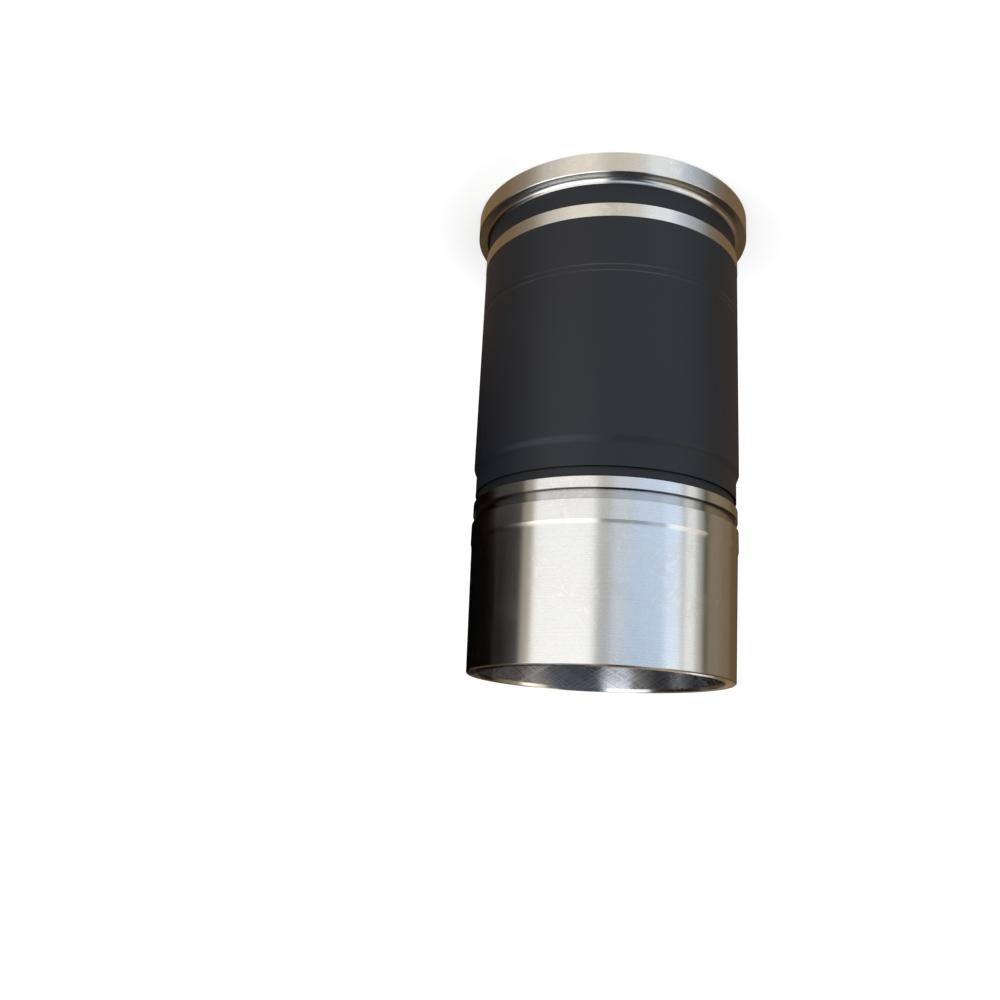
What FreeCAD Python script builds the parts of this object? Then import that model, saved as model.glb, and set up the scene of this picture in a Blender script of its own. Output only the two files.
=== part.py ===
# Wet cylinder liner of cast iron: one hollow turned body, open at both ends.
# Millimetres. The liner stands on its head end: the origin is the centre of the
# collar's end face, +Z runs along the bore towards the plain end.
import FreeCAD, Part
import math
import os

# driving sizes

# overall
bore_d = 130.0              # honed working bore
total_len = 268.0           # collar end face to plain end face
pilot_wall = 8.45           # wall from the bore to the upper pilot band

# collar at the head end
collar_t = 11.7             # collar end face to the seat on its underside
collar_overhang = 5.3       # collar beyond the upper pilot band, radial
collar_end_break = 0.5      # edge break at the end face
collar_seat_break = 0.4     # edge break at the seat

# neck under the collar and upper pilot band
neck_len = 15.2             # seat to the start of the upper pilot band
neck_depth = 1.2            # neck below the upper pilot band, radial
neck_fillet = 2.5           # hollow fillet from the seat into the neck
neck_lead = 0.8             # short cone from the neck up to the band
upper_pilot_len = 7.6

# coated body between the two pilots
body_relief = 0.15          # body below the upper pilot band, radial
body_relief_run = 0.3       # axial run of that small step
ring_mark_from_head = 62.2  # shallow turned channel around the body
ring_mark_width = 3.5
ring_mark_depth = 0.2
ring_mark_side = 0.6        # axial run of each sloping side

# stepped lower end of the body, measured towards the plain end
step_cone_run = 2.5         # cone from the body down to the step
step_cone_round = 4.0       # both ends of that cone roll over softly
step_depth = 1.06           # step below the sealing land, radial
step_len = 12.8
relief_groove_width = 5.4
relief_groove_depth = 1.3   # below the step
lower_band_len = 6.0        # bright band between the two grooves
lower_band_drop = 0.4       # band below the sealing land, radial
seal_groove_width = 5.5
seal_groove_depth = 2.3     # below the sealing land
seal_land_len = 10.2
seal_land_drop = 0.65       # sealing land below the upper pilot band, radial
groove_corner = 0.15        # flat in the floor corners of both grooves
groove_edge = 0.1           # edge break at both grooves

# skirt at the plain end
skirt_cone_run = 2.1        # cone from the sealing land down to the skirt
skirt_cone_drop = 0.5
skirt_cone_foot = 8.0       # hollow radius where the cone runs into the skirt
skirt_len = 67.9            # foot of that cone to the plain end face
skirt_taper = 1.2           # the skirt's radius shrinks by this to the plain end
skirt_end_break = 0.6
mouth_taper_len = 1.8       # short taper of the bore's mouth at the plain end
mouth_taper_rise = 0.5      # radius gained along that taper
bore_mouth_head = 0.4       # bore mouth chamfer at the head end

# radii and heights that follow from them

r_bore = bore_d / 2.0
r_pilot = r_bore + pilot_wall
r_collar = r_pilot + collar_overhang
r_neck = r_pilot - neck_depth
r_body = r_pilot - body_relief
r_mark = r_body - ring_mark_depth
r_land = r_pilot - seal_land_drop
r_step = r_land - step_depth
r_relief = r_step - relief_groove_depth
r_band = r_land - lower_band_drop
r_seal = r_land - seal_groove_depth
r_skirt_top = r_land - skirt_cone_drop
r_skirt_end = r_skirt_top - skirt_taper

z_pilot = collar_t + neck_len
z_body = z_pilot + upper_pilot_len
z_mark_end = ring_mark_from_head + ring_mark_width
z_skirt = total_len - skirt_len
z_land_end = z_skirt - skirt_cone_run
z_land = z_land_end - seal_land_len
z_seal = z_land - seal_groove_width
z_band = z_seal - lower_band_len
z_relief = z_band - relief_groove_width
z_step = z_relief - step_len
z_cone = z_step - step_cone_run

# half section of the wall

# Each corner is (radius, height, treatment, size). "sharp" keeps the corner,
# "flat" cuts it back by size along both sides, "round" rolls it to a radius.
SECTION = [
    (r_bore, 0.0, "flat", bore_mouth_head),
    (r_collar, 0.0, "flat", collar_end_break),
    (r_collar, collar_t, "flat", collar_seat_break),
    (r_neck, collar_t, "round", neck_fillet),
    (r_neck, z_pilot - neck_lead, "sharp", 0.0),
    (r_pilot, z_pilot, "sharp", 0.0),
    (r_pilot, z_body, "sharp", 0.0),
    (r_body, z_body + body_relief_run, "sharp", 0.0),
    (r_body, ring_mark_from_head, "sharp", 0.0),
    (r_mark, ring_mark_from_head + ring_mark_side, "sharp", 0.0),
    (r_mark, z_mark_end - ring_mark_side, "sharp", 0.0),
    (r_body, z_mark_end, "sharp", 0.0),
    (r_body, z_cone, "round", step_cone_round),
    (r_step, z_step, "round", step_cone_round),
    (r_step, z_relief, "flat", groove_edge),
    (r_relief, z_relief, "flat", groove_corner),
    (r_relief, z_band, "flat", groove_corner),
    (r_band, z_band, "flat", groove_edge),
    (r_band, z_seal, "flat", groove_edge),
    (r_seal, z_seal, "flat", groove_corner),
    (r_seal, z_land, "flat", groove_corner),
    (r_land, z_land, "flat", groove_edge),
    (r_land, z_land_end, "sharp", 0.0),
    (r_skirt_top, z_skirt, "round", skirt_cone_foot),
    (r_skirt_end, total_len, "flat", skirt_end_break),
    (r_bore + mouth_taper_rise, total_len, "sharp", 0.0),
    (r_bore, total_len - mouth_taper_len, "sharp", 0.0),
]


def point(rz):
    """A point of the half section, in the XZ plane."""
    return FreeCAD.Vector(rz[0], 0.0, rz[1])


def step_from(corner, towards, distance):
    """The point at a distance from a corner, on the way to a neighbour."""
    dr = towards[0] - corner[0]
    dz = towards[1] - corner[1]
    span = math.hypot(dr, dz)
    return (corner[0] + dr * distance / span, corner[1] + dz * distance / span)


def corner_edges(before, corner, after):
    """Entry point, exit point and the edge that replaces one corner."""
    here = (corner[0], corner[1])
    treatment = corner[2]
    size = corner[3]
    if treatment == "sharp":
        return here, here, None
    ar, az = before[0] - here[0], before[1] - here[1]
    br, bz = after[0] - here[0], after[1] - here[1]
    cosine = (ar * br + az * bz) / (math.hypot(ar, az) * math.hypot(br, bz))
    opening = math.acos(max(-1.0, min(1.0, cosine)))
    if treatment == "flat":
        back = size
    else:
        back = size / math.tan(opening / 2.0)
    start = step_from(here, before, back)
    end = step_from(here, after, back)
    if treatment == "flat":
        return start, end, Part.makeLine(point(start), point(end))
    middle = ((start[0] + end[0]) / 2.0, (start[1] + end[1]) / 2.0)
    centre = step_from(here, middle, size / math.sin(opening / 2.0))
    crown = step_from(centre, here, size)
    return start, end, Part.Arc(point(start), point(crown), point(end)).toShape()


def half_section(corners):
    """The closed wall section as one planar face."""
    treated = []
    count = len(corners)
    for i in range(count):
        treated.append(corner_edges(corners[i - 1], corners[i], corners[(i + 1) % count]))
    edges = []
    for i in range(count):
        start, end, edge = treated[i]
        if edge is not None:
            edges.append(edge)
        following = treated[(i + 1) % count][0]
        edges.append(Part.makeLine(point(end), point(following)))
    return Part.Face(Part.Wire(edges))


# liner

axis_foot = FreeCAD.Vector(0.0, 0.0, 0.0)
axis_up = FreeCAD.Vector(0.0, 0.0, 1.0)
liner = half_section(SECTION).revolve(axis_foot, axis_up, 360.0)
if not liner.isValid() or liner.ShapeType != "Solid":
    raise RuntimeError("the liner is not one valid solid")

os.makedirs("parts", exist_ok=True)
liner.exportStep("parts/cylinder_liner.step")
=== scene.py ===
"""Cylinder liner for a wet-sleeve diesel engine, standing on its head end.

One turned piece of cast iron. Its outside is bare at the collar, the upper pilot band, the
lower band, the sealing land and the skirt, and coated dark between them. Its bore is honed.
Metres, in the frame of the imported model: +Z runs along the bore to the plain end.
"""
import math

import bpy
from bpy.props import FloatProperty, FloatVectorProperty, IntProperty, PointerProperty
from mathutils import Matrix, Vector


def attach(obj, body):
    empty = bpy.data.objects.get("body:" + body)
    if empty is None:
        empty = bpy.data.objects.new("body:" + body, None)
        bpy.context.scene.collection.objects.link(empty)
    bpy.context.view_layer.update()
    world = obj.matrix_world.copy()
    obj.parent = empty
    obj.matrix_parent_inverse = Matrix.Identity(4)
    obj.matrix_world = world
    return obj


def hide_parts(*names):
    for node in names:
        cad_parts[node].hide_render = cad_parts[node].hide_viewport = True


bl_info = {
    "name": "Cylinder liner",
    "version": (1, 0, 0),
    "blender": (4, 5, 0),
    "location": "3D View > Sidebar > Liner",
    "description": "Builds a turned and honed cylinder liner and the studio it stands in",
    "category": "Add Mesh",
}

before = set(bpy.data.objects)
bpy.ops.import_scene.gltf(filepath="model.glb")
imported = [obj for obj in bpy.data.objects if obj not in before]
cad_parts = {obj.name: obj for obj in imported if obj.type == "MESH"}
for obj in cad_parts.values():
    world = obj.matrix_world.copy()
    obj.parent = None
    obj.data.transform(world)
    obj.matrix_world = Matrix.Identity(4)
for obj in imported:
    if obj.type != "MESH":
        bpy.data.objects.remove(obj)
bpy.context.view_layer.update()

MM = 0.001
ARC_CHORDS = 10  # of a rounded corner, so the hollow fillet mirrors the cards without a break
SHARP_TURN = math.radians(12)  # a corner that turns more gets supports
SUPPORT_REACH = 0.08 * MM


def from_hex(code):
    """Linear red, green and blue of an sRGB hex colour."""
    channels = [int(code[i : i + 2], 16) / 255 for i in (1, 3, 5)]
    return tuple(c / 12.92 if c <= 0.04045 else ((c + 0.055) / 1.055) ** 2.4 for c in channels)


def add_node(tree, kind, settings=(), inputs=()):
    """A node with its settings, and each named input set to a value or linked to a socket."""
    made = tree.nodes.new(kind)
    for name, value in dict(settings).items():
        setattr(made, name, value)
    for name, value in dict(inputs).items():
        if isinstance(value, bpy.types.NodeSocket):
            tree.links.new(value, made.inputs[name])
        else:
            made.inputs[name].default_value = value
    return made


def length_of(name, description, default):
    """A length in metres that the sidebar shows in the scene's units."""
    return FloatProperty(
        name=name,
        description=description,
        default=default,
        unit="LENGTH",
        subtype="DISTANCE",
        precision=5,
    )


def colour_of(name, description, code):
    """A colour given as sRGB hex."""
    return FloatVectorProperty(
        name=name,
        description=description,
        default=from_hex(code),
        subtype="COLOR",
        min=0.0,
        max=1.0,
    )


class LinerSizes(bpy.types.PropertyGroup):
    """Sizes of the turned body, the same as in the construction."""

    bore_radius: length_of("Bore radius", "Radius of the honed bore", 65.0 * MM)
    total_length: length_of("Length", "Collar end face to plain end face", 268.0 * MM)
    pilot_wall: length_of("Wall", "Bore to the upper pilot band", 8.45 * MM)
    collar_height: length_of("Collar height", "Collar end face to its seat", 11.7 * MM)
    collar_overhang: length_of("Collar overhang", "Collar beyond the upper pilot band", 5.3 * MM)
    collar_end_break: length_of("Collar end break", "Edge break at the end face", 0.5 * MM)
    collar_seat_break: length_of("Collar seat break", "Edge break at the seat", 0.4 * MM)
    neck_length: length_of("Neck length", "Seat to the upper pilot band", 15.2 * MM)
    neck_depth: length_of("Neck depth", "Neck below the upper pilot band", 1.2 * MM)
    neck_fillet: length_of("Neck fillet", "Radius of the hollow between seat and neck", 2.5 * MM)
    neck_lead: length_of("Neck lead", "Height of the cone up to the pilot band", 0.8 * MM)
    upper_pilot_length: length_of("Upper pilot", "Height of the band below the collar", 7.6 * MM)
    body_relief: length_of("Body relief", "Coated body below the upper pilot band", 0.15 * MM)
    body_relief_run: length_of("Body relief run", "Height of that small step", 0.3 * MM)
    ring_mark_start: length_of("Ring mark", "Collar end face to the shallow ring mark", 62.2 * MM)
    ring_mark_width: length_of("Ring mark width", "Width of the shallow ring mark", 3.5 * MM)
    ring_mark_depth: length_of("Ring mark depth", "Depth of the shallow ring mark", 0.2 * MM)
    ring_mark_side: length_of("Ring mark side", "Height of each sloping side", 0.6 * MM)
    step_depth: length_of("Step depth", "Lower end of the body below the sealing land", 1.06 * MM)
    step_length: length_of("Step length", "Height of the stepped lower end of the body", 12.8 * MM)
    step_cone_run: length_of("Step cone", "Height of the cone from the body to its step", 2.5 * MM)
    step_cone_round: length_of("Step rounding", "Radius at both ends of the body's cone", 4.0 * MM)
    relief_groove_width: length_of("Relief groove width", "Groove above the lower band", 5.4 * MM)
    relief_groove_depth: length_of("Relief groove depth", "Relief groove below the step", 1.3 * MM)
    lower_band_length: length_of("Lower band", "Bright band between the two grooves", 6.0 * MM)
    lower_band_drop: length_of("Lower band drop", "Lower band below the sealing land", 0.4 * MM)
    seal_groove_width: length_of("Seal groove width", "Groove for the sealing ring", 5.5 * MM)
    seal_groove_depth: length_of("Seal groove depth", "Groove below the sealing land", 2.3 * MM)
    seal_land_length: length_of("Sealing land", "Height of the land by the seal groove", 10.2 * MM)
    seal_land_drop: length_of("Sealing land drop", "Land below the upper pilot band", 0.65 * MM)
    groove_corner: length_of("Groove corner", "Flat in the corners of both grooves", 0.15 * MM)
    groove_edge: length_of("Groove edge", "Edge break at both grooves", 0.1 * MM)
    skirt_length: length_of("Skirt length", "Bare skirt down to the plain end", 67.9 * MM)
    skirt_drop: length_of("Skirt drop", "Skirt below the sealing land", 0.5 * MM)
    skirt_cone_run: length_of("Skirt cone", "Height of the cone down to the skirt", 2.1 * MM)
    skirt_foot: length_of("Skirt foot", "Hollow radius where the cone meets the skirt", 8.0 * MM)
    skirt_taper: length_of("Skirt taper", "Radius lost along the skirt", 1.2 * MM)
    skirt_end_break: length_of("Skirt end break", "Edge break at the plain end", 0.6 * MM)
    mouth_taper: length_of("Mouth taper", "Height of the bore's taper at the plain end", 1.8 * MM)
    mouth_rise: length_of("Mouth rise", "Radius gained along that taper", 0.5 * MM)
    bore_mouth_head: length_of("Bore mouth", "Chamfer of the bore at the head end", 0.4 * MM)
    coat_start: length_of("Coat start", "Collar end face to the start of the dark coat", 14.6 * MM)
    segments: IntProperty(
        name="Segments", description="Flats around the turned surface", default=360, min=48, max=720
    )


class LinerFinish(bpy.types.PropertyGroup):
    """Colours of the bare, coated and honed surfaces."""

    iron: colour_of("Turned iron", "Bare, finely turned cast iron", "#D3D3D0")
    iron_dull: colour_of("Dull iron", "Valleys of the turned lines", "#C4C4C1")
    iron_stain: colour_of("Stained iron", "Faint warm stains where the iron was handled", "#C6B8A4")
    iron_spot: colour_of("Spotted iron", "Pale spots that dried coolant leaves", "#EBEDF2")
    # Painted shade: this dark colour stands for the shadow in the seal groove.
    seal_groove_shade: colour_of("Seal groove shade", "Oil and swarf on the seal groove's wall and floor", "#26231F")
    bore: colour_of("Honed iron", "Plateaus of the honed bore", "#B0AEAE")
    # Painted highlight: the paler colour stands for light caught on the scratches' flanks.
    bore_scratch_highlight: colour_of("Honing scratch", "Bright flanks of the cross-hatch", "#DDDBD9")
    coat: colour_of("Coat", "Dark phosphate coat", "#15181E")
    # Partly rubbed coat, partly a painted highlight on the ring mark's edges.
    coat_rub_highlight: colour_of("Rubbed coat", "Edges where the coat is rubbed", "#4A4B4D")
    # Painted shade: this black stands for the shadow in the relief groove's upper corner.
    corner_shade: colour_of("Corner shade", "Dried phosphate in the relief groove's corner", "#08080A")


class StudioSetup(bpy.types.PropertyGroup):
    """Floor, lamps, reflecting cards and camera."""

    floor: colour_of("Floor", "Plain pale floor", "#F7F7F7")
    white_card: colour_of("White card", "Large white sheet on the left of the camera", "#FCFDFF")
    cream_card: colour_of("Cream card", "Lower sheet in front of the piece", "#FFF3E2")
    tan_card: colour_of("Tan card", "Warm edge of the white sheet", "#BDB2A2")
    cool_card: colour_of("Cool card", "Pale blue sheet on the right of the camera", "#CBE1FF")
    sky_card: colour_of("Sky card", "Brighter side of the pale blue sheet", "#E3EEFF")
    grey_card: colour_of("Grey card", "Tent wall between the cards", "#E6E9EC")
    brown_card: colour_of("Brown card", "Brown board beside and behind the piece", "#957959")
    sand_card: colour_of("Sand card", "Paler brown board on the right", "#AC9A84")
    olive_card: colour_of("Olive card", "Dark edge beside the sand card", "#6E6C5A")
    charcoal_card: colour_of("Charcoal card", "Dark cloth on the left", "#3A3B3F")
    black_board: colour_of("Black board", "Matt board close on the left of the piece", "#060606")
    card_radius: length_of("Card radius", "Ring of cards around the piece", 2.0)
    camera_place: FloatVectorProperty(
        name="Camera place",
        description="Where the camera stands",
        default=(0.0, 0.54832, 0.32158),
        subtype="TRANSLATION",
        unit="LENGTH",
    )
    camera_turn: FloatVectorProperty(
        name="Camera turn",
        description="The camera is rolled half a turn, so the collar is at the top of the picture",
        default=tuple(math.radians(a) for a in (-74.6121, 3.0144, -5.2411)),
        subtype="EULER",
    )
    camera_lens: FloatProperty(
        name="Lens", description="Focal length in millimetres", default=36.596
    )


# half section of the wall


def step_from(corner, towards, distance):
    """The point at a distance from a corner, on the way to a neighbour."""
    return corner + (towards - corner).normalized() * distance


def treated_corner(before, here, after, treatment, size):
    """The points that replace one corner of the half section."""
    if treatment == "sharp":
        return [here]
    if treatment == "flat":
        return [step_from(here, before, size), step_from(here, after, size)]
    opening = (before - here).angle(after - here)
    middle = ((before - here).normalized() + (after - here).normalized()).normalized()
    centre = here + middle * (size / math.sin(opening / 2))
    back = size / math.tan(opening / 2)
    start = step_from(here, before, back) - centre
    end = step_from(here, after, back) - centre
    chords = range(ARC_CHORDS + 1)
    return [centre + start.lerp(end, i / ARC_CHORDS).normalized() * size for i in chords]


def section_points(sizes):
    """Closed outline of the wall as (radius, height), the same corners as the construction."""
    pilot = sizes.bore_radius + sizes.pilot_wall
    neck = pilot - sizes.neck_depth
    body = pilot - sizes.body_relief
    mark = body - sizes.ring_mark_depth
    land = pilot - sizes.seal_land_drop
    step = land - sizes.step_depth
    band = land - sizes.lower_band_drop
    relief = step - sizes.relief_groove_depth
    seal = land - sizes.seal_groove_depth
    skirt = land - sizes.skirt_drop
    collar = pilot + sizes.collar_overhang
    z_pilot = sizes.collar_height + sizes.neck_length
    z_body = z_pilot + sizes.upper_pilot_length
    z_mark = sizes.ring_mark_start
    z_mark_end = z_mark + sizes.ring_mark_width
    z_skirt = sizes.total_length - sizes.skirt_length
    z_land_end = z_skirt - sizes.skirt_cone_run
    z_land = z_land_end - sizes.seal_land_length
    z_seal = z_land - sizes.seal_groove_width
    z_band = z_seal - sizes.lower_band_length
    z_relief = z_band - sizes.relief_groove_width
    z_step = z_relief - sizes.step_length
    edge, corner = sizes.groove_edge, sizes.groove_corner
    corners = [
        (sizes.bore_radius, 0.0, "flat", sizes.bore_mouth_head),
        (collar, 0.0, "flat", sizes.collar_end_break),
        (collar, sizes.collar_height, "flat", sizes.collar_seat_break),
        (neck, sizes.collar_height, "round", sizes.neck_fillet),
        (neck, sizes.coat_start, "sharp", 0.0),
        (neck, z_pilot - sizes.neck_lead, "sharp", 0.0),
        (pilot, z_pilot, "sharp", 0.0),
        (pilot, z_body, "sharp", 0.0),
        (body, z_body + sizes.body_relief_run, "sharp", 0.0),
        (body, z_mark, "sharp", 0.0),
        (mark, z_mark + sizes.ring_mark_side, "sharp", 0.0),
        (mark, z_mark_end - sizes.ring_mark_side, "sharp", 0.0),
        (body, z_mark_end, "sharp", 0.0),
        (body, z_step - sizes.step_cone_run, "round", sizes.step_cone_round),
        (step, z_step, "round", sizes.step_cone_round),
        (step, z_relief, "flat", edge),
        (relief, z_relief, "flat", corner),
        (relief, z_band, "flat", corner),
        (band, z_band, "flat", edge),
        (band, z_seal, "flat", edge),
        (seal, z_seal, "flat", corner),
        (seal, z_land, "flat", corner),
        (land, z_land, "flat", edge),
        (land, z_land_end, "sharp", 0.0),
        (skirt, z_skirt, "round", sizes.skirt_foot),
        (skirt - sizes.skirt_taper, sizes.total_length, "flat", sizes.skirt_end_break),
        (sizes.bore_radius + sizes.mouth_rise, sizes.total_length, "sharp", 0.0),
        (sizes.bore_radius, sizes.total_length - sizes.mouth_taper, "sharp", 0.0),
    ]
    places = [Vector(corner[:2]) for corner in corners]
    outline = []
    for i, (radius, height, treatment, size) in enumerate(corners):
        after = places[(i + 1) % len(corners)]
        outline += treated_corner(places[i - 1], places[i], after, treatment, size)
    return outline


def with_supports(outline):
    """The outline with a point close beside each corner, so its shading turns only at the edge."""
    count = len(outline)
    result = []
    for i, here in enumerate(outline):
        before, after = outline[i - 1], outline[(i + 1) % count]
        if (here - before).angle(after - here) > SHARP_TURN:
            first, last = (
                step_from(here, side, min(SUPPORT_REACH, (side - here).length * 0.3))
                for side in (before, after)
            )
            result += [first, here, last]
        else:
            result.append(here)
    return result


# the turned body


def turning_tree():
    """Geometry nodes that turn a half section about Z and give each zone its material."""
    tree = bpy.data.node_groups.new("turn_about_bore_axis", "GeometryNodeTree")
    sockets = (
        ("Section", "NodeSocketGeometry"),
        ("Segments", "NodeSocketInt"),
        ("Bore radius", "NodeSocketFloat"),
        ("Coat start", "NodeSocketFloat"),
        ("Upper band start", "NodeSocketFloat"),
        ("Upper band end", "NodeSocketFloat"),
        ("Coat end", "NodeSocketFloat"),
        ("Groove wall", "NodeSocketFloat"),
        ("Turned iron", "NodeSocketMaterial"),
        ("Coat", "NodeSocketMaterial"),
        ("Corner shade", "NodeSocketMaterial"),
        ("Honed bore", "NodeSocketMaterial"),
    )
    for name, kind in sockets:
        tree.interface.new_socket(name=name, in_out="INPUT", socket_type=kind)
    tree.interface.new_socket(name="Body", in_out="OUTPUT", socket_type="NodeSocketGeometry")
    given = add_node(tree, "NodeGroupInput").outputs

    # The section's points keep their radius and height, the circle's points their angle.
    section = add_node(tree, "GeometryNodeMeshToCurve", inputs={"Mesh": given["Section"]})
    place = add_node(tree, "GeometryNodeInputPosition")
    apart = add_node(tree, "ShaderNodeSeparateXYZ", inputs={0: place.outputs[0]})
    keep = add_node(
        tree, "GeometryNodeCaptureAttribute", {"domain": "POINT"}, {0: section.outputs[0]}
    )
    keep.capture_items.new("FLOAT", "radius")
    keep.capture_items.new("FLOAT", "height")
    tree.links.new(apart.outputs["X"], keep.inputs["radius"])
    tree.links.new(apart.outputs["Z"], keep.inputs["height"])
    circle = add_node(
        tree, "GeometryNodeCurvePrimitiveCircle", inputs={"Resolution": given["Segments"]}
    )
    along = add_node(tree, "GeometryNodeSplineParameter")
    angle = add_node(
        tree, "ShaderNodeMath", {"operation": "MULTIPLY"}, {0: along.outputs["Factor"], 1: math.tau}
    )
    turn = add_node(
        tree, "GeometryNodeCaptureAttribute", {"domain": "POINT"}, {0: circle.outputs[0]}
    )
    turn.capture_items.new("FLOAT", "angle")
    tree.links.new(angle.outputs[0], turn.inputs["angle"])
    wall = add_node(
        tree,
        "GeometryNodeCurveToMesh",
        inputs={"Curve": turn.outputs[0], "Profile Curve": keep.outputs[0]},
    )
    turned = {}
    for axis, operation in (("X", "COSINE"), ("Y", "SINE")):
        part = add_node(
            tree, "ShaderNodeMath", {"operation": operation}, {0: turn.outputs["angle"]}
        )
        turned[axis] = add_node(
            tree,
            "ShaderNodeMath",
            {"operation": "MULTIPLY"},
            {0: part.outputs[0], 1: keep.outputs["radius"]},
        ).outputs[0]
    turned["Z"] = keep.outputs["height"]
    placed = add_node(tree, "ShaderNodeCombineXYZ", inputs=turned)
    shaped = add_node(
        tree,
        "GeometryNodeSetPosition",
        inputs={"Geometry": wall.outputs[0], "Position": placed.outputs[0]},
    )
    outward = add_node(tree, "GeometryNodeFlipFaces", inputs={0: shaped.outputs[0]})
    smooth = add_node(tree, "GeometryNodeSetShadeSmooth", inputs={0: outward.outputs[0]})

    # Zones by height and by radius. A test's operands are earlier results, the group's inputs
    # or plain numbers.
    inside_wall, corner_shade_reach, bore_margin = 2.0 * MM, 0.12 * MM, 0.03 * MM
    centre = add_node(tree, "GeometryNodeInputPosition")
    centre_apart = add_node(tree, "ShaderNodeSeparateXYZ", inputs={0: centre.outputs[0]})
    flat = add_node(
        tree,
        "ShaderNodeVectorMath",
        {"operation": "MULTIPLY"},
        {0: centre.outputs[0], 1: (1, 1, 0)},
    )
    radius = add_node(tree, "ShaderNodeVectorMath", {"operation": "LENGTH"}, {0: flat.outputs[0]})
    known = {name: given[name] for name, kind in sockets}
    known["height"] = centre_apart.outputs["Z"]
    known["radius"] = radius.outputs["Value"]
    for result, first, operation, second in (
        ("above start", "height", "GREATER_THAN", "Coat start"),
        ("below band", "height", "LESS_THAN", "Upper band start"),
        ("on neck", "above start", "MULTIPLY", "below band"),
        ("above band", "height", "GREATER_THAN", "Upper band end"),
        ("below end", "height", "LESS_THAN", "Coat end"),
        ("on body", "above band", "MULTIPLY", "below end"),
        ("coated height", "on neck", "ADD", "on body"),
        ("within wall", "Bore radius", "ADD", inside_wall),
        ("outside", "radius", "GREATER_THAN", "within wall"),
        ("coated", "coated height", "MULTIPLY", "outside"),
        # The corner zone is painted shade: the relief groove's upper wall gets a black material.
        ("from corner", "height", "SUBTRACT", "Groove wall"),
        ("corner distance", "from corner", "ABSOLUTE", 0.0),
        ("at corner", "corner distance", "LESS_THAN", corner_shade_reach),
        ("in corner", "at corner", "MULTIPLY", "outside"),
        ("bore limit", "Bore radius", "ADD", bore_margin),
        ("honed", "radius", "LESS_THAN", "bore limit"),
    ):
        test = add_node(
            tree,
            "ShaderNodeMath",
            {"operation": operation},
            {0: known[first], 1: known.get(second, second)},
        )
        known[result] = test.outputs[0]

    body = add_node(tree, "GeometryNodeRealizeInstances", inputs={0: smooth.outputs[0]})
    for selection, finish in (
        (True, "Turned iron"),
        (known["coated"], "Coat"),
        (known["in corner"], "Corner shade"),
        (known["honed"], "Honed bore"),
    ):
        body = add_node(
            tree,
            "GeometryNodeSetMaterial",
            inputs={"Geometry": body.outputs[0], "Selection": selection, "Material": given[finish]},
        )
    add_node(tree, "NodeGroupOutput", inputs={0: body.outputs[0]})
    return tree


def new_material(name):
    """An empty material, its tree and its surface shader."""
    material = bpy.data.materials.new(name)
    material.use_nodes = True
    tree = material.node_tree
    tree.nodes.clear()
    shader = add_node(tree, "ShaderNodeBsdfPrincipled")
    add_node(tree, "ShaderNodeOutputMaterial", inputs={"Surface": shader.outputs[0]})
    return material, tree, shader


def opaque(colour):
    """A colour with its alpha."""
    return (*colour, 1.0)


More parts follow.
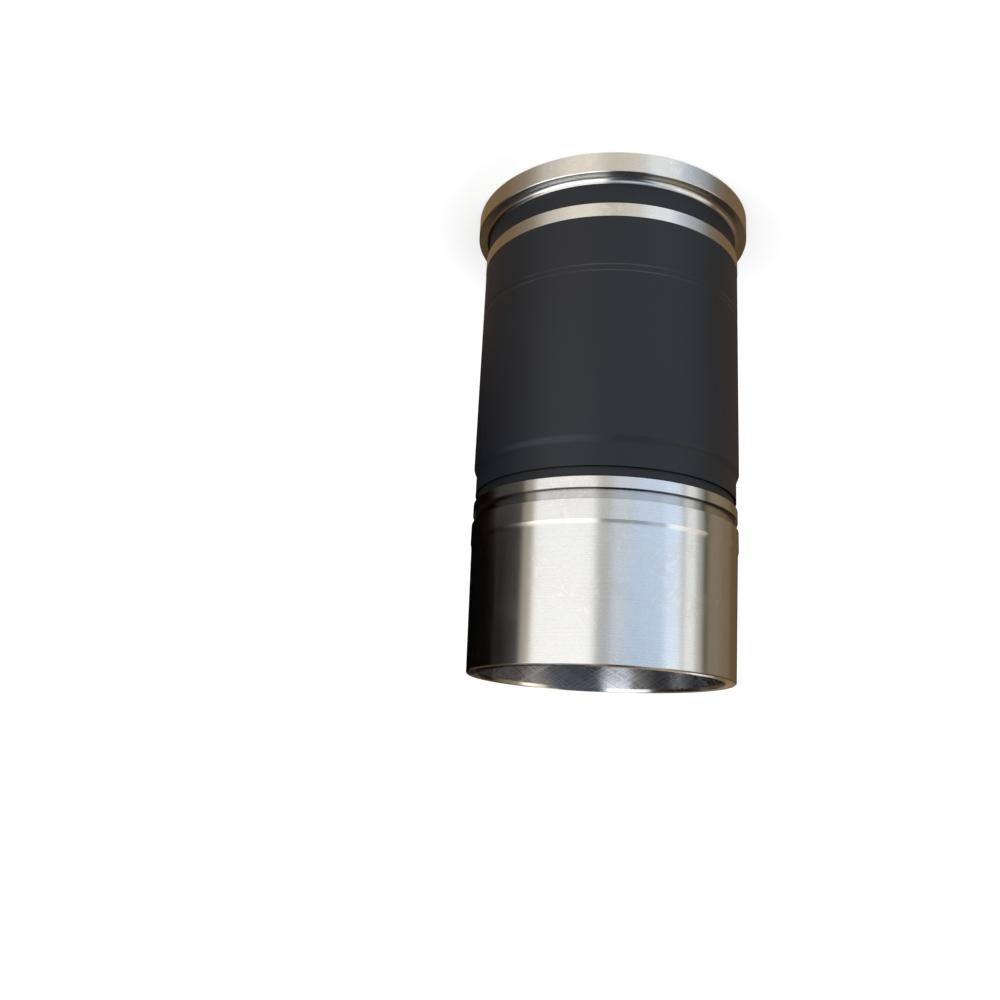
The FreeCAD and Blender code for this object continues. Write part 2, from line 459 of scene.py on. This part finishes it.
def turned_iron(finish, groove_wall, groove_width):
    """Grey cast iron, finish-turned: satin, slightly warm, with rings from the tool's feed.

    The rings scatter light along the axis and hardly around it, so every card is drawn out into
    an upright streak. The true feed of 0.25 mm is under a pixel and is drawn at 0.5 mm.
    Handling leaves faint warm stains and dried coolant pale spots. A painted shade darkens the seal
    groove's upper wall and, more faintly, its whole floor.
    """
    material, tree, shader = new_material("turned_grey_iron")
    coords = add_node(tree, "ShaderNodeTexCoord").outputs["Object"]
    apart = add_node(tree, "ShaderNodeSeparateXYZ", inputs={0: coords})
    flat = add_node(
        tree, "ShaderNodeVectorMath", {"operation": "MULTIPLY"}, {0: coords, 1: (1, 1, 0)}
    )
    radius = add_node(tree, "ShaderNodeVectorMath", {"operation": "LENGTH"}, {0: flat.outputs[0]})
    travel = add_node(
        tree,
        "ShaderNodeMath",
        {"operation": "ADD"},
        {0: apart.outputs["Z"], 1: radius.outputs["Value"]},
    )
    rings = add_node(
        tree,
        "ShaderNodeTexNoise",
        {"noise_dimensions": "1D"},
        {"W": travel.outputs[0], "Scale": 1 / (0.5 * MM), "Detail": 2.0, "Roughness": 0.5},
    )
    around, upward = 1 / (0.9 * MM), 1 / (0.35 * MM)
    drawn = add_node(
        tree, "ShaderNodeMapping", inputs={"Vector": coords, "Scale": (around, around, upward)}
    )
    grain = add_node(
        tree,
        "ShaderNodeTexNoise",
        inputs={"Vector": drawn.outputs[0], "Scale": 1.0, "Detail": 2.0, "Roughness": 0.5},
    )
    handled = add_node(
        tree,
        "ShaderNodeTexNoise",
        inputs={"Vector": coords, "Scale": 1 / (22 * MM), "Detail": 2.0, "Roughness": 0.5},
    )
    smudge = add_node(
        tree,
        "ShaderNodeMapRange",
        {"interpolation_type": "SMOOTHSTEP"},
        {"Value": handled.outputs["Fac"], "From Min": 0.45, "From Max": 0.75},
    )
    lines = add_node(
        tree,
        "ShaderNodeMix",
        {"data_type": "FLOAT"},
        {"Factor": 0.65, 2: rings.outputs["Fac"], 3: grain.outputs["Fac"]},
    )
    shade = add_node(
        tree,
        "ShaderNodeMapRange",
        inputs={"Value": lines.outputs[0], "From Min": 0.3, "From Max": 0.7},
    )
    stain = add_node(
        tree, "ShaderNodeMath", {"operation": "MULTIPLY"}, {0: smudge.outputs[0], 1: 0.14}
    )
    dried = add_node(
        tree,
        "ShaderNodeTexNoise",
        inputs={
            "Vector": coords,
            "Scale": 1 / (4.5 * MM),
            "Detail": 4.0,
            "Roughness": 0.65,
            "Distortion": 0.6,
        },
    )
    spots = add_node(
        tree,
        "ShaderNodeMapRange",
        {"interpolation_type": "SMOOTHSTEP"},
        {"Value": dried.outputs["Fac"], "From Min": 0.5, "From Max": 0.68, "To Max": 0.35},
    )
    splash = add_node(
        tree,
        "ShaderNodeMath",
        {"operation": "MULTIPLY"},
        {0: smudge.outputs[0], 1: spots.outputs[0]},
    )
    # Painted shade in the seal groove: full on its upper wall, three tenths over the rest of its
    # floor.
    from_wall = add_node(
        tree, "ShaderNodeMath", {"operation": "SUBTRACT"}, {0: apart.outputs["Z"], 1: groove_wall}
    )
    wall_distance = add_node(
        tree, "ShaderNodeMath", {"operation": "ABSOLUTE"}, {0: from_wall.outputs[0]}
    )
    seal_groove_shade = add_node(
        tree,
        "ShaderNodeMapRange",
        {"interpolation_type": "SMOOTHSTEP"},
        {"Value": wall_distance.outputs[0], "From Max": 0.5 * MM, "To Min": 1.0, "To Max": 0.0},
    )
    floor_start = add_node(
        tree,
        "ShaderNodeMapRange",
        {"interpolation_type": "SMOOTHSTEP"},
        {"Value": from_wall.outputs[0], "From Max": 0.8 * MM, "To Max": 0.3},
    )
    floor_end = add_node(
        tree,
        "ShaderNodeMath",
        {"operation": "LESS_THAN"},
        {0: from_wall.outputs[0], 1: groove_width},
    )
    dull = add_node(
        tree,
        "ShaderNodeMath",
        {"operation": "MULTIPLY"},
        {0: floor_start.outputs[0], 1: floor_end.outputs[0]},
    )
    groove_shade_mask = add_node(
        tree, "ShaderNodeMath", {"operation": "MAXIMUM"}, {0: seal_groove_shade.outputs[0], 1: dull.outputs[0]}
    )
    surface = opaque(finish.iron_dull)
    for amount, colour in (
        (shade, finish.iron),
        (stain, finish.iron_stain),
        (splash, finish.iron_spot),
        (groove_shade_mask, finish.seal_groove_shade),
    ):
        surface = add_node(
            tree,
            "ShaderNodeMix",
            {"data_type": "RGBA"},
            {"Factor": amount.outputs[0], 6: surface, 7: opaque(colour)},
        ).outputs[2]
    even = add_node(
        tree,
        "ShaderNodeMapRange",
        inputs={
            "Value": lines.outputs[0],
            "From Min": 0.3,
            "From Max": 0.7,
            "To Min": 0.22,
            "To Max": 0.19,
        },
    )
    rough = add_node(
        tree,
        "ShaderNodeMath",
        {"operation": "MULTIPLY_ADD"},
        {0: smudge.outputs[0], 1: 0.04, 2: even.outputs[0]},
    )
    bump = add_node(
        tree,
        "ShaderNodeBump",
        inputs={"Strength": 0.25, "Distance": 0.01 * MM, "Height": lines.outputs[0]},
    )
    tangent = add_node(tree, "ShaderNodeTangent", {"direction_type": "RADIAL", "axis": "Z"})
    tree.links.new(surface, shader.inputs["Base Color"])
    tree.links.new(rough.outputs[0], shader.inputs["Roughness"])
    tree.links.new(bump.outputs[0], shader.inputs["Normal"])
    tree.links.new(tangent.outputs[0], shader.inputs["Tangent"])
    shader.inputs["Metallic"].default_value = 1.0
    shader.inputs["Anisotropic"].default_value = 0.88
    shader.inputs["Anisotropic Rotation"].default_value = 0.25
    return material


def phosphate_coat(finish, mark_start, mark_end):
    """Manganese phosphate on cast iron, dipped: a charcoal skin of fine crystals.

    It is matt and even, with a faint sheen. Both edges of the ring mark are drawn lighter:
    rubbed coat and a painted highlight where the edges catch the light.
    The crystals of some 10 microns are drawn at 0.5 mm.
    """
    material, tree, shader = new_material("phosphate_coat")
    coords = add_node(tree, "ShaderNodeTexCoord").outputs["Object"]
    apart = add_node(tree, "ShaderNodeSeparateXYZ", inputs={0: coords})
    crystals = add_node(
        tree,
        "ShaderNodeTexNoise",
        inputs={"Vector": coords, "Scale": 1 / (0.5 * MM), "Detail": 2.0, "Roughness": 0.6},
    )
    cloud = add_node(
        tree,
        "ShaderNodeTexNoise",
        inputs={"Vector": coords, "Scale": 1 / (35 * MM), "Detail": 3.0, "Roughness": 0.55},
    )
    patchy = add_node(
        tree,
        "ShaderNodeMapRange",
        {"interpolation_type": "SMOOTHSTEP"},
        {"Value": cloud.outputs["Fac"], "From Min": 0.35, "From Max": 0.65},
    )
    # Both ring mark edges are painted lighter, in patches: rubbed coat and painted highlight.
    near = []
    for edge in (mark_start, mark_end):
        away = add_node(
            tree, "ShaderNodeMath", {"operation": "SUBTRACT"}, {0: apart.outputs["Z"], 1: edge}
        )
        distance = add_node(tree, "ShaderNodeMath", {"operation": "ABSOLUTE"}, {0: away.outputs[0]})
        fade = add_node(
            tree,
            "ShaderNodeMapRange",
            {"interpolation_type": "SMOOTHSTEP"},
            {"Value": distance.outputs[0], "From Max": 0.6 * MM, "To Min": 1.0, "To Max": 0.0},
        )
        near.append(fade.outputs[0])
    rubbed = add_node(tree, "ShaderNodeMath", {"operation": "MAXIMUM"}, {0: near[0], 1: near[1]})
    worn = add_node(
        tree,
        "ShaderNodeMath",
        {"operation": "MULTIPLY"},
        {0: rubbed.outputs[0], 1: patchy.outputs[0]},
    )
    rub_and_highlight = add_node(tree, "ShaderNodeMath", {"operation": "MULTIPLY"}, {0: worn.outputs[0], 1: 0.6})
    grain = add_node(
        tree,
        "ShaderNodeMapRange",
        inputs={
            "Value": crystals.outputs["Fac"],
            "From Min": 0.3,
            "From Max": 0.7,
            "To Min": 0.9,
            "To Max": 1.1,
        },
    )
    toned = add_node(
        tree,
        "ShaderNodeVectorMath",
        {"operation": "SCALE"},
        {0: tuple(finish.coat), "Scale": grain.outputs[0]},
    )
    skin = add_node(
        tree,
        "ShaderNodeMix",
        {"data_type": "RGBA"},
        {"Factor": rub_and_highlight.outputs[0], 6: toned.outputs[0], 7: opaque(finish.coat_rub_highlight)},
    )
    rough = add_node(
        tree,
        "ShaderNodeMapRange",
        inputs={
            "Value": cloud.outputs["Fac"],
            "From Min": 0.3,
            "From Max": 0.7,
            "To Min": 0.42,
            "To Max": 0.5,
        },
    )
    bump = add_node(
        tree,
        "ShaderNodeBump",
        inputs={"Strength": 0.4, "Distance": 0.01 * MM, "Height": crystals.outputs["Fac"]},
    )
    tree.links.new(skin.outputs[2], shader.inputs["Base Color"])
    tree.links.new(rough.outputs[0], shader.inputs["Roughness"])
    tree.links.new(bump.outputs[0], shader.inputs["Normal"])
    shader.inputs["Specular IOR Level"].default_value = 0.32
    return material


def painted_corner_shade(finish):
    """Painted shade in the relief groove's upper corner: black and dead matt, its tone a little
    uneven.
    """
    material, tree, shader = new_material("painted_corner_shade")
    coords = add_node(tree, "ShaderNodeTexCoord").outputs["Object"]
    crumbs = add_node(
        tree,
        "ShaderNodeTexNoise",
        inputs={"Vector": coords, "Scale": 1 / (0.8 * MM), "Detail": 2.0},
    )
    tone = add_node(
        tree,
        "ShaderNodeMapRange",
        inputs={"Value": crumbs.outputs["Fac"], "To Min": 0.6, "To Max": 1.4},
    )
    crust = add_node(
        tree,
        "ShaderNodeVectorMath",
        {"operation": "SCALE"},
        {0: tuple(finish.corner_shade), "Scale": tone.outputs[0]},
    )
    tree.links.new(crust.outputs[0], shader.inputs["Base Color"])
    shader.inputs["Roughness"].default_value = 0.95
    shader.inputs["Specular IOR Level"].default_value = 0.05
    return material


def honed_iron(finish, bore_radius):
    """Grey cast iron, plateau-honed: flat plateaus cut by scratches that cross at 60 degrees.

    Each set of scratches climbs at 30 degrees to the bore's circle. A turn of the coordinates
    that grows with the height keeps a set's pattern constant along its own climb, with no seam.
    The scratches' flanks are painted paler, a painted highlight of the light they catch, and are
    bumped. Their true spacing of about 0.1 mm is drawn at 0.45 mm.
    """
    material, tree, shader = new_material("plateau_honed_iron")
    coords = add_node(tree, "ShaderNodeTexCoord").outputs["Object"]
    apart = add_node(tree, "ShaderNodeSeparateXYZ", inputs={0: coords})
    sets = []
    for way in (-1.0, 1.0):
        climb = way / (bore_radius * math.tan(math.radians(30)))
        angle = add_node(
            tree, "ShaderNodeMath", {"operation": "MULTIPLY"}, {0: apart.outputs["Z"], 1: climb}
        )
        turned = add_node(
            tree,
            "ShaderNodeVectorRotate",
            {"rotation_type": "Z_AXIS"},
            {"Vector": coords, "Angle": angle.outputs[0]},
        )
        level = add_node(
            tree,
            "ShaderNodeVectorMath",
            {"operation": "MULTIPLY"},
            {0: turned.outputs[0], 1: (1, 1, 0)},
        )
        scratches = add_node(
            tree,
            "ShaderNodeTexNoise",
            inputs={
                "Vector": level.outputs[0],
                "Scale": 1 / (0.45 * MM),
                "Detail": 1.0,
                "Roughness": 0.5,
            },
        )
        sets.append(scratches.outputs["Fac"])
    hatch = add_node(tree, "ShaderNodeMath", {"operation": "MAXIMUM"}, {0: sets[0], 1: sets[1]})
    flank = add_node(
        tree,
        "ShaderNodeMapRange",
        {"interpolation_type": "SMOOTHSTEP"},
        {"Value": hatch.outputs[0], "From Min": 0.5, "From Max": 0.7},
    )
    # The flanks get a paler colour: a painted highlight on real scratches.
    metal = add_node(
        tree,
        "ShaderNodeMix",
        {"data_type": "RGBA"},
        {"Factor": flank.outputs[0], 6: opaque(finish.bore), 7: opaque(finish.bore_scratch_highlight)},
    )
    rough = add_node(
        tree,
        "ShaderNodeMapRange",
        inputs={"Value": flank.outputs[0], "To Min": 0.23, "To Max": 0.3},
    )
    bump = add_node(
        tree,
        "ShaderNodeBump",
        inputs={"Strength": 0.2, "Distance": 0.01 * MM, "Height": flank.outputs[0]},
    )
    tangent = add_node(tree, "ShaderNodeTangent", {"direction_type": "RADIAL", "axis": "Z"})
    tree.links.new(metal.outputs[2], shader.inputs["Base Color"])
    tree.links.new(rough.outputs[0], shader.inputs["Roughness"])
    tree.links.new(bump.outputs[0], shader.inputs["Normal"])
    tree.links.new(tangent.outputs[0], shader.inputs["Tangent"])
    shader.inputs["Metallic"].default_value = 1.0
    shader.inputs["Anisotropic"].default_value = 0.9
    shader.inputs["Anisotropic Rotation"].default_value = 0.25
    return material


class LINER_OT_turned_body(bpy.types.Operator):
    """Turn the liner's half section about the bore axis and finish its zones"""

    bl_idname = "liner.turned_body"
    bl_label = "Build the turned body"

    def execute(self, context):
        sizes = context.scene.liner_sizes
        finish = context.scene.liner_finish
        outline = with_supports(section_points(sizes))
        mesh = bpy.data.meshes.new("half_section")
        count = len(outline)
        mesh.from_pydata(
            [(p.x, 0.0, p.y) for p in outline], [(i, (i + 1) % count) for i in range(count)], []
        )
        blank = bpy.data.objects.new("half_section", mesh)
        context.scene.collection.objects.link(blank)

        z_pilot = sizes.collar_height + sizes.neck_length
        z_land_end = sizes.total_length - sizes.skirt_length - sizes.skirt_cone_run
        z_seal = z_land_end - sizes.seal_land_length - sizes.seal_groove_width
        z_coat_end = z_seal - sizes.lower_band_length
        mark_start = sizes.ring_mark_start
        mark_end = mark_start + sizes.ring_mark_width
        tree = turning_tree()
        values = {
            "Segments": sizes.segments,
            "Bore radius": sizes.bore_radius,
            "Coat start": sizes.coat_start,
            "Upper band start": z_pilot,
            "Upper band end": z_pilot + sizes.upper_pilot_length,
            "Coat end": z_coat_end,
            "Groove wall": z_coat_end - sizes.relief_groove_width,
            "Turned iron": turned_iron(finish, z_seal, sizes.seal_groove_width),
            "Coat": phosphate_coat(finish, mark_start, mark_end),
            "Corner shade": painted_corner_shade(finish),
            "Honed bore": honed_iron(finish, sizes.bore_radius),
        }
        turning = blank.modifiers.new("turning", "NODES")
        turning.node_group = tree
        for item in tree.interface.items_tree:
            if item.in_out == "INPUT" and item.name in values:
                turning[item.identifier] = values[item.name]

        depsgraph = context.evaluated_depsgraph_get()
        turned = bpy.data.meshes.new_from_object(
            blank.evaluated_get(depsgraph), preserve_all_data_layers=True, depsgraph=depsgraph
        )
        blank.modifiers.clear()
        bpy.data.objects.remove(blank)
        bpy.data.meshes.remove(mesh)
        turned.name = "liner_turned_body"
        if len(turned.polygons) != count * sizes.segments:
            raise RuntimeError("the turned body has not the faces that its section gives")

        piece = bpy.data.objects.new("liner_turned_body", turned)
        context.scene.collection.objects.link(piece)
        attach(piece, "root")
        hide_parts("cylinder_liner")
        return {"FINISHED"}


# the studio


def smooth_between(low, high, value):
    """0 below low, 1 above high, and a smooth rise between them."""
    t = max(0.0, min(1.0, (value - low) / (high - low)))
    return t * t * (3 - 2 * t)


def shown_at(value, first, last, soft):
    """How much of a card shows at an angle: 1 between its edges, 0 outside, with soft edges."""
    rise = smooth_between(first - soft / 2, first + soft / 2, value)
    return rise * (1 - smooth_between(last - soft / 2, last + soft / 2, value))


def on_ring(azimuth, radius, height):
    """A point at an azimuth from +Y towards +X, in degrees."""
    angle = math.radians(azimuth)
    return (radius * math.sin(angle), radius * math.cos(angle), height)


def ring_of_cards(name, cards, tent, radius, rows):
    """A ring of glowing cards that only reflections see, and only from its inside.

    Each row is a height and the elevation that its cards are looked up at. The light is held
    by the ring's points.
    """
    columns, soft_height, tent_level = 720, 3.0, 0.85
    azimuths = [-170 + 360 * column / columns for column in range(columns)]
    across, upright, tints = [], [], []
    for start, end, low, high, left, right, level, soft in cards:
        across.append([shown_at(azimuth, start, end, soft) for azimuth in azimuths])
        upright.append([shown_at(elevation, low, high, soft_height) for height, elevation in rows])
        places = [max(0.0, min(1.0, (azimuth - start) / (end - start))) for azimuth in azimuths]
        tints.append([Vector(left).lerp(Vector(right), place) * level for place in places])
    points, colours, faces = [], [], []
    for row, (height, elevation) in enumerate(rows):
        shown_here = [card for card in range(len(cards)) if upright[card][row] > 0]
        for column, azimuth in enumerate(azimuths):
            points.append(on_ring(azimuth, radius, height))
            colour = Vector(tent) * tent_level
            for card in shown_here:
                colour = colour.lerp(tints[card][column], across[card][column] * upright[card][row])
            colours.append(colour)
    for row in range(len(rows) - 1):
        for column in range(columns):
            a = row * columns + column
            b = row * columns + (column + 1) % columns
            faces.append((a, b, b + columns, a + columns))
    mesh = bpy.data.meshes.new(name)
    mesh.from_pydata(points, [], faces)
    light = mesh.color_attributes.new("light", "FLOAT_COLOR", "POINT")
    for i, colour in enumerate(colours):
        light.data[i].color = (*colour, 1.0)
    material = bpy.data.materials.new(name)
    material.use_nodes = True
    tree = material.node_tree
    tree.nodes.clear()
    held = add_node(tree, "ShaderNodeVertexColor", {"layer_name": "light"})
    glow = add_node(tree, "ShaderNodeEmission", inputs={"Color": held.outputs["Color"]})
    clear = add_node(tree, "ShaderNodeBsdfTransparent")
    side = add_node(tree, "ShaderNodeNewGeometry")
    shown = add_node(
        tree,
        "ShaderNodeMixShader",
        inputs={0: side.outputs["Backfacing"], 1: glow.outputs[0], 2: clear.outputs[0]},
    )
    add_node(tree, "ShaderNodeOutputMaterial", inputs={"Surface": shown.outputs[0]})
    material.cycles.emission_sampling = "NONE"
    mesh.materials.append(material)
    ring = bpy.data.objects.new(name, mesh)
    bpy.context.scene.collection.objects.link(ring)
    for ray in ("camera", "diffuse", "transmission", "shadow", "volume_scatter"):
        setattr(ring, "visible_" + ray, False)


class LINER_OT_studio(bpy.types.Operator):
    """Set up the floor, the lamps, the reflecting cards, the world and the camera"""

    bl_idname = "liner.studio"
    bl_label = "Set up the studio"

    def execute(self, context):
        scene = context.scene
        studio = scene.liner_studio
        scene.view_settings.view_transform = "Standard"

        world = bpy.data.worlds.new("white_studio")
        world.use_nodes = True
        world.node_tree.nodes.clear()
        sky = add_node(world.node_tree, "ShaderNodeBackground", inputs={"Color": (1, 1, 1, 1)})
        add_node(world.node_tree, "ShaderNodeOutputWorld", inputs={"Surface": sky.outputs[0]})
        world.cycles.sampling_method = "NONE"
        scene.world = world

        material, tree, shader = new_material("matt_paper_floor")
        coords = add_node(tree, "ShaderNodeTexCoord").outputs["Object"]
        fibre = add_node(tree, "ShaderNodeTexNoise", inputs={"Vector": coords, "Scale": 0.9 / MM})
        paper = add_node(
            tree,
            "ShaderNodeMix",
            {"data_type": "RGBA"},
            {"Factor": fibre.outputs["Fac"], 6: opaque(studio.floor), 7: (1, 1, 1, 1)},
        )
        tree.links.new(paper.outputs[2], shader.inputs["Base Color"])
        shader.inputs["Roughness"].default_value = 0.9
        shader.inputs["Specular IOR Level"].default_value = 0.0
        shader.inputs["Emission Color"].default_value = (1, 1, 1, 1)
        # The camera alone sees a faint glow, so the paper comes out plain white.
        ray = add_node(tree, "ShaderNodeLightPath")
        lift = add_node(
            tree,
            "ShaderNodeMath",
            {"operation": "MULTIPLY"},
            {0: ray.outputs["Is Camera Ray"], 1: 0.1},
        )
        tree.links.new(lift.outputs[0], shader.inputs["Emission Strength"])
        mesh = bpy.data.meshes.new("floor")
        far = 8.0
        floor_corners = [(-far, -far, 0), (far, -far, 0), (far, far, 0), (-far, far, 0)]
        mesh.from_pydata(floor_corners, [], [(0, 1, 2, 3)])
        mesh.materials.append(material)
        floor = bpy.data.objects.new("floor", mesh)
        floor.visible_glossy = False
        scene.collection.objects.link(floor)

        white, cream, tan = studio.white_card, studio.cream_card, studio.tan_card
        cool, sky, grey = studio.cool_card, studio.sky_card, studio.grey_card
        brown, sand, olive = studio.brown_card, studio.sand_card, studio.olive_card
        charcoal, black = studio.charcoal_card, studio.black_board
        # Each card spans azimuths and elevations in degrees: start, end, low, high, left colour,
        # right colour, level, soft edge. A later card covers an earlier one. Azimuths run from
        # -170 to 190.
        cards = (
            # level with the piece: dark cloth, the white sheet, the pale blue one, brown boards
            (-200, -95, -90, 90, black, black, 1.0, 12),
            (-99, -62, -90, 90, black, charcoal, 0.7, 6),
            (-70, -52, -90, 90, tan, tan, 0.9, 4),
            (-59, 4, -90, 90, white, white, 1.46, 7),
            (-6, 14, -90, 90, grey, grey, 0.92, 8),
            (7, 30, -90, 90, sky, sky, 1.22, 8),
            (21, 58, -90, 90, cool, cool, 1.32, 18),
            (50, 72, -90, 90, cool, sky, 1.52, 6),
            (66, 76, -90, 90, grey, grey, 1.0, 3),
            (71, 86, -90, 90, white, white, 1.3, 3),
            (81, 94, -90, 90, white, olive, 0.85, 3),
            (90, 100, -90, 90, olive, olive, 0.64, 2),
            (96, 118, -90, 90, sand, sand, 0.83, 3),
            (112, 142, -90, 90, sand, brown, 0.74, 6),
            (134, 160, -90, 90, brown, brown, 0.6, 6),
            (150, 188, -90, 90, brown, brown, 0.45, 8),
            (186, 200, -90, 90, black, black, 1.0, 2),
            # below, in front of the piece
            (-108, -74, -90, -15.5, grey, grey, 0.12, 14),
            (-200, -98, -90, -27, brown, brown, 1.0, 9),
            (-104, -54, -90, -25, brown, tan, 0.95, 8),
            (-68, -28, -90, -25, tan, cream, 1.12, 14),
            (-38, 2, -90, -22, cream, cream, 1.15, 16),
            (-10, 24, -90, -22, cream, cream, 0.93, 14),
            (16, 38, -90, -22, cream, white, 1.0, 12),
            (30, 66, -90, -22, white, white, 1.3, 12),
            (57, 98, -90, -22, sky, olive, 1.05, 10),
            (104, 188, -90, -28, brown, brown, 0.78, 9),
            # above
            (-100, -66, 12, 90, charcoal, white, 1.2, 12),
            (-64, -4, 2, 80, cream, white, 1.6, 5),
            (-70, -12, 16, 80, white, white, 2.2, 12),
            (-72, -10, 15, 36, white, white, 3.1, 12),
            (-3, 52, 5, 80, grey, grey, 0.56, 7),
            (-3, 46, 17, 80, charcoal, charcoal, 1.5, 8),
            (38, 60, 18, 80, sky, cream, 1.6, 8),
            (54, 92, 1, 17, white, tan, 1.9, 8),
            (55, 100, 16, 80, cream, tan, 1.2, 8),
            (98, 188, 15, 90, brown, brown, 0.45, 12),
            (-200, -98, 15, 90, brown, brown, 0.4, 12),
            (-80, 0, 62, 90, grey, grey, 0.5, 12),
            (-4, 90, 62, 90, charcoal, charcoal, 1.1, 12),
            # behind the piece, for the plain end's face
            (170, 178.2, -20, 16, brown, tan, 0.9, 2),
            (177.4, 180.2, -20, 16, white, white, 2.0, 0.8),
            (179.7, 183.2, -20, 16, charcoal, charcoal, 1.4, 0.8),
            (182.7, 184.8, -20, 16, cream, cream, 1.9, 0.8),
            (184.4, 189, -20, 16, brown, black, 0.8, 1),
        )
        centre_height, lowest, highest, steps = 0.2, -50, 86, 102
        rows = []
        for step in range(steps + 1):
            elevation = lowest + (highest - lowest) * step / steps
            rise = studio.card_radius * math.tan(math.radians(elevation))
            rows.append((centre_height + rise, elevation))
        ring_of_cards("ring_of_cards", cards, grey, studio.card_radius, rows)

        # A collar of cards stands on the plain end and lights only what looks out of the bore. Its
        # lower rows light the bore's wall, its upper ones the taper at the mouth. Its foot is dark
        # on the far side, where the near end face mirrors it.
        rim_cards = (
            (-200, 200, -90, 90, black, black, 1.0, 1),
            (-84, -46, -90, 20, black, grey, 0.5, 4),
            (-45, -5, -90, 20, sky, sky, 6.0, 5),
            (3, 84, -90, 20, cool, cool, 0.6, 10),
            (96, 131, -90, 20, grey, cream, 2.6, 12),
            (127, 188, -90, 20, tan, brown, 0.9, 8),
            (-200, -84, -90, -10, charcoal, black, 0.2, 4),
            (74, 200, -90, -10, brown, charcoal, 0.9, 8),
            (-170, -78, 20, 90, tan, sand, 0.15, 4),
            (-80, -8, 20, 90, white, white, 2.2, 4),
            (-12, 78, 20, 90, charcoal, charcoal, 1.3, 4),
            (86, 132, 20, 90, cream, cream, 1.9, 4),
            (130, 190, 20, 90, sand, brown, 0.8, 4),
        )
        gap = 0.5 * MM
        rim = scene.liner_sizes.total_length + gap
        bore_radius = scene.liner_sizes.bore_radius
        rim_heights = ((0, -20), (13, -20), (16, 0), (34, 0), (38, 40), (180, 40))
        rim_rows = [(rim + height * MM, elevation) for height, elevation in rim_heights]
        ring_of_cards("rim_cards", rim_cards, grey, bore_radius + gap, rim_rows)

        # A board stands just beside the piece and keeps light off its left flank. A cloth on the
        # floor inside the bore keeps it dark towards the bottom.
        material, tree, shader = new_material("matt_black_cloth")
        shader.inputs["Base Color"].default_value = opaque(black)
        shader.inputs["Roughness"].default_value = 0.9
        shader.inputs["Specular IOR Level"].default_value = 0.1
        arc = range(-128, -58, 2)
        board_radius, board_foot, board_top = 0.12, 0.1, 0.33
        board_points = [on_ring(azimuth, board_radius, board_foot) for azimuth in arc]
        board_points += [on_ring(azimuth, board_radius, board_top) for azimuth in arc]
        count = len(arc)
        board_faces = [(i, i + 1, i + count + 1, i + count) for i in range(count - 1)]
        cloth_radius, cloth_height = bore_radius - gap, 0.4 * MM
        cloth_points = [on_ring(turn, cloth_radius, cloth_height) for turn in range(0, 360, 10)]
        cloth_faces = [tuple(range(len(cloth_points)))]
        for name, points, faces, unseen_by in (
            ("black_board", board_points, board_faces, ("camera", "glossy")),
            ("black_cloth", cloth_points, cloth_faces, ("camera", "diffuse", "shadow")),
        ):
            mesh = bpy.data.meshes.new(name)
            mesh.from_pydata(points, [], faces)
            mesh.materials.append(material)
            sheet = bpy.data.objects.new(name, mesh)
            for ray in unseen_by:
                setattr(sheet, "visible_" + ray, False)
            scene.collection.objects.link(sheet)

        middle = Vector((0.0, 0.0, 0.13))
        for name, place, size, power in (
            ("overhead_lamp", (0.0, 0.3, 1.6), 2.0, 8.0),
            ("left_lamp", (-1.2, 1.0, 1.0), 1.2, 3.0),
        ):
            lamp = bpy.data.lights.new(name, "AREA")
            lamp.shape = "SQUARE"
            lamp.size = size
            lamp.energy = power
            holder = bpy.data.objects.new(name, lamp)
            holder.location = place
            holder.rotation_euler = (middle - Vector(place)).to_track_quat("-Z", "Y").to_euler()
            holder.visible_glossy = False
            scene.collection.objects.link(holder)

        lens = bpy.data.cameras.new("camera")
        lens.lens = studio.camera_lens
        lens.sensor_width = 36.0
        lens.clip_start = 0.01
        camera = bpy.data.objects.new("camera", lens)
        camera.location = studio.camera_place
        camera.rotation_euler = studio.camera_turn
        scene.collection.objects.link(camera)
        scene.camera = camera
        return {"FINISHED"}


class LINER_PT_panel(bpy.types.Panel):
    """Sizes, colours and the steps of the build"""

    bl_label = "Cylinder liner"
    bl_idname = "LINER_PT_panel"
    bl_space_type = "VIEW_3D"
    bl_region_type = "UI"
    bl_category = "Liner"

    def draw(self, context):
        column = self.layout.column()
        for label, group in (
            ("Sizes", context.scene.liner_sizes),
            ("Finish", context.scene.liner_finish),
            ("Studio", context.scene.liner_studio),
        ):
            column.label(text=label)
            for name in group.__annotations__:
                column.prop(group, name)
        column.operator(LINER_OT_turned_body.bl_idname)
        column.operator(LINER_OT_studio.bl_idname)


CLASSES = (
    LinerSizes,
    LinerFinish,
    StudioSetup,
    LINER_OT_turned_body,
    LINER_OT_studio,
    LINER_PT_panel,
)


def register():
    for item in CLASSES:
        bpy.utils.register_class(item)
    bpy.types.Scene.liner_sizes = PointerProperty(type=LinerSizes)
    bpy.types.Scene.liner_finish = PointerProperty(type=LinerFinish)
    bpy.types.Scene.liner_studio = PointerProperty(type=StudioSetup)


def unregister():
    del bpy.types.Scene.liner_studio
    del bpy.types.Scene.liner_finish
    del bpy.types.Scene.liner_sizes
    for item in reversed(CLASSES):
        bpy.utils.unregister_class(item)


def main():
    """Build the liner and its studio."""
    register()
    bpy.ops.liner.turned_body()
    bpy.ops.liner.studio()


if __name__ == "__main__":
    main()
